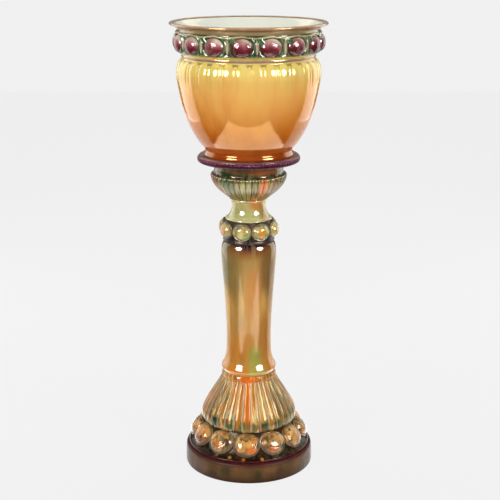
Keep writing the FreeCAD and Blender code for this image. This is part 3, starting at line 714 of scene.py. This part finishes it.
bowl_glaze = glaze(
    "honey_bowl",
    bands=[(686, (143, 59, 17)), (700, (151, 63, 13)), (704, (178, 86, 23)), (728, (181, 90, 19)),
           (752, (197, 109, 31)), (777, (212, 131, 50)), (802, (226, 152, 70)), (830, (233, 173, 90)),
           (852, (231, 185, 96)), (870, (235, 206, 113)), (886, (235, 214, 118)),
           (888.5, (216, 199, 134)), (890, (134, 99, 92)), (893.5, (164, 130, 120)),
           (895.5, (212, 195, 105)), (899, (197, 178, 86)), (902, (57, 57, 29)), (925, (92, 99, 57)),
           (939, (115, 107, 63)), (944, (145, 126, 94)), (951, (143, 120, 86)), (953.6, (116, 62, 36)),
           (955.6, (152, 104, 66)), (957.6, (182, 144, 106)), (960, (216, 195, 168))],
    # The broad pale patch at the front and the darker ones at bearings -54 and 56 are painted light and
    # shade across the curve; the pale spots at -20 and 34 in the reeds are painted highlight where the
    # lamps shine.
    patches=[(0, 806, 40, 84, (250, 194, 112), 0.27), (-54, 780, 15, 100, (190, 112, 36), 0.4),
             (56, 780, 15, 100, (192, 114, 38), 0.4), (-20, 872, 16, 9, (226, 206, 112), 0.4),
             (34, 872, 14, 9, (228, 208, 118), 0.4)],
    hollow=(138, 110, 56), pooled=0.85, drift=0.6, streak=0.25, inside=((244, 242, 230), (230, 236, 222)),
    coat=0.25, lustre=(1.0, 0.62, 0.16), ior=1.70)
bowl = thrown(
    "bowl",
    profile(
        [(0, 694), (74, 694)], [(74, 694), (78, 686.1)], [(78, 686.1), (92, 686.1)],
        [(92, 686.1), (94.6, 687.4), (95.3, 690.4), (94, 693.6), (92.3, 695.6)],
        [(92.3, 695.6), (91.9, 698), (95, 704), (102.4, 712.6), (112.6, 728), (125, 752), (136.2, 784),
         (143.4, 816), (144.7, 824, 0), (145.9, 832, 0.05), (146.4, 840, 0.4), (146.5, 848, 0.85),
         (146.4, 856, 1), (145.6, 868, 1), (142.2, 879, 1), (137.4, 886, 0.8), (135.6, 888.4, 0)],
        [(135.2, 888.4), (136.6, 889.2), (138.2, 891), (138.6, 893), (137.6, 894.8), (136.6, 895.6)],
        [(136.6, 895.6), (139.8, 896.6), (143.6, 898.6), (145.8, 901), (146.2, 905)],
        [(146.2, 905), (146.6, 915), (146.6, 930), (146, 938), (146, 943), (147.8, 948)],
        [(147.8, 948), (152, 951.4), (158, 953.2), (161.4, 954.4), (162.6, 956.4), (161.6, 958.6),
         (158.8, 959.8), (155.6, 959.6), (152.8, 957.6)],
        [(152.8, 957.6, -0.3), (151.4, 955.4, -1), (148, 950, -1), (139, 940, -1), (130, 920, -1),
         (124, 900, -1), (125, 888, -1), (131, 874, -1), (135.4, 850, -1), (136, 830, -1), (132, 800, -1),
         (124.6, 776, -1), (113, 748, -1), (97, 722, -1), (84, 710, -1), (70, 706.4, -1)],
        [(70, 706.4, -1), (0, 706, -1)], spacing=1.55),
    bowl_glaze, "jardiniere", "honey_glaze", "bowl", Steps_round=480, Reeds=reeds,
    First_reed=-5 / 360 * reeds, Wide_share=0.7, Wide_rise=0.0022, Narrow_rise=0.0015, Wide_head=0.8872,
    Narrow_head=0.8832, Head_length=0.006, Squareness=2.6)


# ---------------------------------------------------------------- plums
# Sixteen plums moulded round the band, sprigged on. Burgundy glaze, darker towards the bottom of each
# plum and dusty pink towards its top, with a pale painted highlight on its upper right shoulder.

fruit_count, first_fruit, band_radius, band_middle = 16, -5.0, 146.6, 919.0
plum_glaze = glaze(
    "burgundy_plum",
    bands=[(-1.0, (64, 16, 20)), (-0.5, (84, 20, 28)), (0.0, (108, 36, 44)), (0.35, (142, 76, 80)),
           (0.7, (184, 134, 128)), (1.0, (206, 176, 160))],
    hollow=(60, 22, 24), pooled=0.35, marbled=[(196, 150, 142), (84, 36, 34)], marbling=0.35, streak=0.5,
    fruit=(0.22, (214, 200, 176)), roughness=0.14, coat=0.05, lustre=(1.0, 0.8, 0.8), ior=1.5)
plum_sprig = sprig(
    "plum", lambda a: (22.4 * math.cos(a), 19.0 * math.sin(a)),
    [(0, 10.0, 1), (0.3, 9.6, 1), (0.5, 8.6, 1), (0.68, 7.0, 1), (0.82, 4.9, 0.9), (0.93, 2.0, 0.5),
     (1, -2.2, 0)])
plums = settled("plums", plum_sprig, wreath, {
    "Count": fruit_count, "First bearing": first_fruit, "Seat radius": band_radius / 1000,
    "Seat height": band_middle / 1000, "Lean": 0.0,
    "Glaze": plum_glaze}, "jardiniere", "plum_glaze", "plums")


# ---------------------------------------------------------------- leaves
# The relief between the fruit, modelled on the mould with them: a folded leaf over each plum's
# shoulder, its calyx curling down the right side, and a pale dart between one plum and the next.

def leaf_sheet():
    """One repeat of the relief, in millimetres from the plum's middle. Each stroke is a path of (x, y,
    half width), its rise and the colours at its edge and on its back."""
    half = math.pi * band_radius / fruit_count
    low, high, between = -18.6, 24.0, 28.78
    foot_line = [(-29, -16.6, 3.2), (-20, -18.0, 1.6), (-10, low, 1.2), (10, low, 1.2), (20, -18.0, 1.6),
                 (29, -16.6, 3.2)]
    left_corner = [(-29, 17.4, 4.2), (-24, 17.2, 3.6)]
    right_corner = [(24, 17.0, 3.4), (29, 17.4, 4.2)]
    left_sepal = [(-24.6, 13, 0.9), (-25.4, 4, 1.0), (-25.0, -5, 1.0), (-22, -13, 1.2), (-16, -17.6, 1.4)]
    dart = [(between, 14, 1.9), (between, 6, 3.9), (between, -3, 4.2), (between, -10.0, 2.6)]
    calyx = [(10, 20.6, 1.4), (18, 18.8, 2.3), (22.8, 12.6, 2.4), (24.2, 4.0, 2.1), (23.6, -4.0, 2.7),
             (21.0, -11.5, 3.9), (13.5, -17, 3.0), (3, -19.2, 1.2)]
    leaf_back = [(-27, 18.2, 2.4), (-16, 19.4, 2.4), (-5, 20.4, 1.2)]
    leaf_fold = [(-27, 16.0, 2.2), (-21, 14.8, 5.8), (-16, 10.8, 5.2), (-11.0, 5.6, 0.8)]
    wavy_rim = [(-29, 19.4, 1.5), (-20, 20.0, 1.7), (-11, 21.4, 1.9), (-3, 22.0, 2.0), (5, 21.6, 1.9),
                (11, 20.0, 1.6), (16, 20.4, 1.9), (22, 19.4, 1.6), (29, 19.4, 1.5)]
    strokes = [
        (foot_line, 1.4, (78, 76, 46), (122, 116, 82)),
        (left_corner, 1.8, (44, 70, 36), (96, 110, 60)),
        (right_corner, 1.8, (44, 70, 36), (96, 110, 60)),
        (left_sepal, 2.4, (40, 78, 44), (104, 134, 84)),
        (dart, 4.2, (96, 74, 54), (192, 172, 144)),
        (calyx, 5.6, (14, 46, 24), (40, 100, 54)),
        (leaf_back, 5.0, (24, 60, 30), (66, 108, 58)),
        (leaf_fold, 7.8, (14, 50, 26), (40, 98, 48)),
        (wavy_rim, 4.6, (120, 118, 74), (198, 190, 144)),
    ]
    columns, rows = 66, 54
    ground, ground_crown, fullness, carried = 0.35, 0.2, 0.62, 0.2
    border, sunk, buried = 1.5, 0.5, -2.2
    verts, crowns, paints = [], [], []
    for row in range(rows + 3):
        for column in range(columns + 1):
            px = half * (2 * column / columns - 1)
            py = low + min(row, rows) * (high - low) / rows
            rise, paint, crown = ground, Vector(colour(66, 66, 38)), ground_crown
            for path, lift, edge, back in strokes:
                for shift in (-2 * half, 0, 2 * half):
                    near = 0.0
                    for (ax, ay, aw), (bx, by, bw) in zip(path, path[1:]):
                        run_x, run_y = bx - ax, by - ay
                        along = (px + shift - ax) * run_x + (py - ay) * run_y
                        t = min(1.0, max(0.0, along / (run_x * run_x + run_y * run_y)))
                        gap = math.hypot(px + shift - ax - t * run_x, py - ay - t * run_y)
                        near = max(near, 1 - (gap / (aw + (bw - aw) * t)) ** 2)
                    if near > 0:
                        rise = max(rise, lift * math.sqrt(near) * fullness + rise * carried)
                        tone = Vector(colour(*edge)).lerp(Vector(colour(*back)), near)
                        paint = paint.lerp(tone, min(1.0, near * 3))
                        crown = max(crown, near)
            ease = min(1.0, min(py - low, high - py) / border)
            rise = rise * ease - sunk * (1 - ease)
            if row > rows:
                py, rise = (high, low)[row - rows - 1], buried
            verts.append((px / 1000, py / 1000, rise / 1000))
            crowns.append(crown)
            paints.extend((*paint, 1))
    wide = columns + 1
    faces = []
    for row in range(rows + 3):
        for column in range(columns):
            here, above = row * wide + column, ((row + 1) % (rows + 3)) * wide + column
            faces.append((here, here + 1, above + 1, above))
    mesh = bpy.data.meshes.new("leaf_sprig")
    mesh.from_pydata(verts, [], faces)
    mesh.attributes.new("crown", "FLOAT", "POINT").data.foreach_set("value", crowns)
    mesh.attributes.new("paint", "FLOAT_COLOR", "POINT").data.foreach_set("color", paints)
    return mesh


leaf_glaze = glaze(
    "leaf_green", hollow=(40, 44, 24), pooled=0.35, streak=0.7, marbled=[(34, 70, 38), (176, 160, 112)],
    marbling=0.3, lustre=(1, 0.95, 0.8), ior=1.5)
leaves = settled("leaves", leaf_sheet(), wreath, {
    "Count": fruit_count, "First bearing": first_fruit, "Seat radius": band_radius / 1000,
    "Seat height": band_middle / 1000, "Lean": 0.0,
    "Glaze": leaf_glaze}, "jardiniere", "leaf_glaze", "leaves")


# ---------------------------------------------------------------- studio
# The object stands on white paper that runs back behind it, with tall white panels at both sides
# and two soft lamps in front. The room in front is dark, which is why the glaze looks deep there.

floor_half = 6
floor_mesh = bpy.data.meshes.new("floor")
floor_mesh.from_pydata(
    [(x * floor_half, y * floor_half, 0) for x, y in ((-1, -1), (1, -1), (1, 1), (-1, 1))], [],
    [(0, 1, 2, 3)])
floor = bpy.data.objects.new("floor", floor_mesh)
bpy.context.collection.objects.link(floor)
floor_material = bpy.data.materials.new("white_paper")
floor_material.use_nodes = True
floor_material.node_tree.nodes.clear()
floor_mesh.materials.append(floor_material)

# The glaze mirrors a bright sheet of paper in front of the object and a dimmer one behind it, and the
# rest of the floor as dark. The camera sees pale paper all over, with the object's shadow on it.
paper = Tree(floor_material.node_tree)


def glowing(strength):
    return paper.add("ShaderNodeEmission", {}, {"Color": grey(1), "Strength": strength})


place_x, place_y, _ = paper.add("ShaderNodeSeparateXYZ", {}, {
    0: paper.add("ShaderNodeTexCoord", {}, {}, out="Object")}, out=(0, 1, 2))
front_sheet = paper.step(abs(place_x), 0.63, 0.66, 1.0, 0.0) * paper.step(place_y, -0.79, -0.76)
rear_sheet = paper.step(abs(place_x), 1.30, 1.40, 1.0, 0.0) * paper.step(place_y, 0.26, 0.30)
seen, mirrored = paper.add("ShaderNodeLightPath", {}, {}, out=("Is Camera Ray", "Is Glossy Ray"))
plain_paper = paper.add("ShaderNodeBsdfDiffuse", {}, {"Color": (0.80, 0.80, 0.81, 1)})
pale_paper = paper.add("ShaderNodeAddShader", {}, {
    0: paper.add("ShaderNodeBsdfDiffuse", {}, {"Color": grey(0.05)}), 1: glowing(0.84)})
sheets = paper.add("ShaderNodeMixShader", {}, {0: rear_sheet, 1: glowing(3.5), 2: glowing(1.0)})
mirror_paper = paper.add("ShaderNodeMixShader", {}, {
    0: front_sheet.sum("MAXIMUM", front_sheet, rear_sheet), 1: glowing(0.03), 2: sheets})
straight = paper.add("ShaderNodeMixShader", {}, {0: seen, 1: plain_paper, 2: pale_paper})
paper.add("ShaderNodeOutputMaterial", {}, {
    "Surface": paper.add("ShaderNodeMixShader", {}, {0: mirrored, 1: straight, 2: mirror_paper})})

# The room is pale to the camera. What the glaze mirrors of it is dark in front and pale at the sides,
# and its light on the object comes more from behind the camera than from behind the object.
world = bpy.data.worlds.new("studio")
bpy.context.scene.world = world
world.use_nodes = True
world.node_tree.nodes.clear()
room = Tree(world.node_tree)


def wall(level):
    return room.add(
        "ShaderNodeBackground", {}, {"Color": level if isinstance(level, tuple) else grey(level)})


def blend(share, first, second):
    return room.add("ShaderNodeMixShader", {}, {0: share, 1: first, 2: second})


seen, mirrored = room.add("ShaderNodeLightPath", {}, {}, out=("Is Camera Ray", "Is Glossy Ray"))
_, behind, _ = room.add("ShaderNodeSeparateXYZ", {}, {
    0: room.add("ShaderNodeTexCoord", {}, {}, out="Generated")}, out=(0, 1, 2))
front_mirrored = blend(room.step(behind, -0.9, -0.3, 1.0, 0.0), wall(0.02), wall(0.34))
room_mirrored = blend(room.step(behind, 0.2, 0.5), front_mirrored, wall(0.28))
room_light = blend(room.step(behind, -0.9, 0.1, 1.0, 0.0), wall((0.22, 0.22, 0.225, 1)), wall(0.48))
unseen = blend(mirrored, room_light, room_mirrored)
room.add("ShaderNodeOutputWorld", {}, {"Surface": blend(seen, unseen, wall(0.875))})


def lamp(name, where, aim, width, tall, power, shape="RECTANGLE", lights=True, shines=True):
    """A soft lamp that the camera doesn't see, turned to the point it lights. It lights the colour,
    shines in the glaze, or does both."""
    data = bpy.data.lights.new(name, "AREA")
    data.shape, data.size, data.size_y, data.energy = shape, width, tall, power
    light = bpy.data.objects.new(name, data)
    bpy.context.collection.objects.link(light)
    light.location = where
    light.rotation_euler = (Vector(aim) - light.location).to_track_quat("-Z", "Y").to_euler()
    light.visible_camera, light.visible_diffuse, light.visible_glossy = False, lights, shines


# Each front lamp is two: one lights the colour, and a rounder and stronger one just before it makes the
# highlight in the glaze.
lamp_height, glint_height, nearer, stronger, lit_point = 1.95, 1.92, 0.98, 6, (0, 0, 0.5)
for side, x, y, power in (("left", -2.47, -2.47, 62), ("right", 2.72, -2.20, 58)):
    lamp(side + "_lamp", (x, y, lamp_height), lit_point, 2.0, 1.35, power, "ELLIPSE", shines=False)
    lamp(side + "_glint", (nearer * x, nearer * y, glint_height), lit_point, 1.75, 1.75, power * stronger,
         "ELLIPSE", lights=False)
panel_height = 1.22
for side, x, y in (("left", -1.30, 1.0), ("right", 1.30, 1.12)):
    lamp(side + "_panel", (x, y, panel_height), (0, y, panel_height), 1.5, 2.4, 22)

camera_data = bpy.data.cameras.new("camera")
camera_data.lens, camera_data.sensor_width = 86.2, 36
camera = bpy.data.objects.new("camera", camera_data)
bpy.context.collection.objects.link(camera)
camera.location = (0, -2.466, 1.152)
pitch, off_centre_pixels, focal_pixels = 15.28, 1.3, 1197
camera.rotation_euler = (math.radians(90 - pitch), 0, -off_centre_pixels / focal_pixels)
bpy.context.scene.camera = camera
bpy.context.scene.view_settings.view_transform = "Standard"
